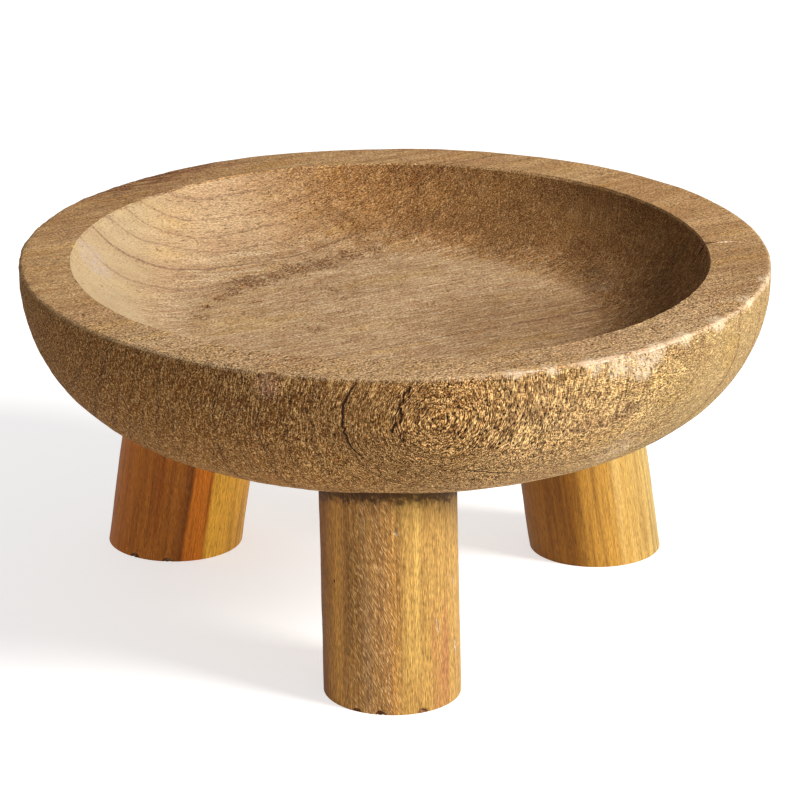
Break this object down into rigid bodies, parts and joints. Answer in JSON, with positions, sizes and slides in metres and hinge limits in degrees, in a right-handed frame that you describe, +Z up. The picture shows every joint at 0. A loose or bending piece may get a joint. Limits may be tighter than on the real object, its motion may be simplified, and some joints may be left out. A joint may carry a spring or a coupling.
{
  "type": "footed wooden bowl",
  "caption": "Round shallow bowl cut from one block of wood, with a wide flat rim and a flat-floored hollow, on short round legs that splay outwards.",
  "frame": {"origin": "on the surface the feet stand on, straight below the centre of the rim", "axes": "+Z up out of the hollow, -Y towards the front leg, +X to the right when the bowl is seen from the front"},
  "size_m": [0.3, 0.3, 0.1435],
  "materials": {
    "bowl_wood": "bare open-grained brown wood, rough from the tool on end grain, dry and matt",
    "leg_wood": "smooth golden-brown wood with fine upright grain, thin satin finish",
    "dowel_wood": "pale plain hardwood, fluted and unfinished"
  },
  "bodies": {
    "root": {"bowl": "bowl_wood", "leg_front": "leg_wood", "leg_right": "leg_wood", "leg_left": "leg_wood", "dowel_front": "dowel_wood", "dowel_right": "dowel_wood", "dowel_left": "dowel_wood"}
  },
  "joints": []
}
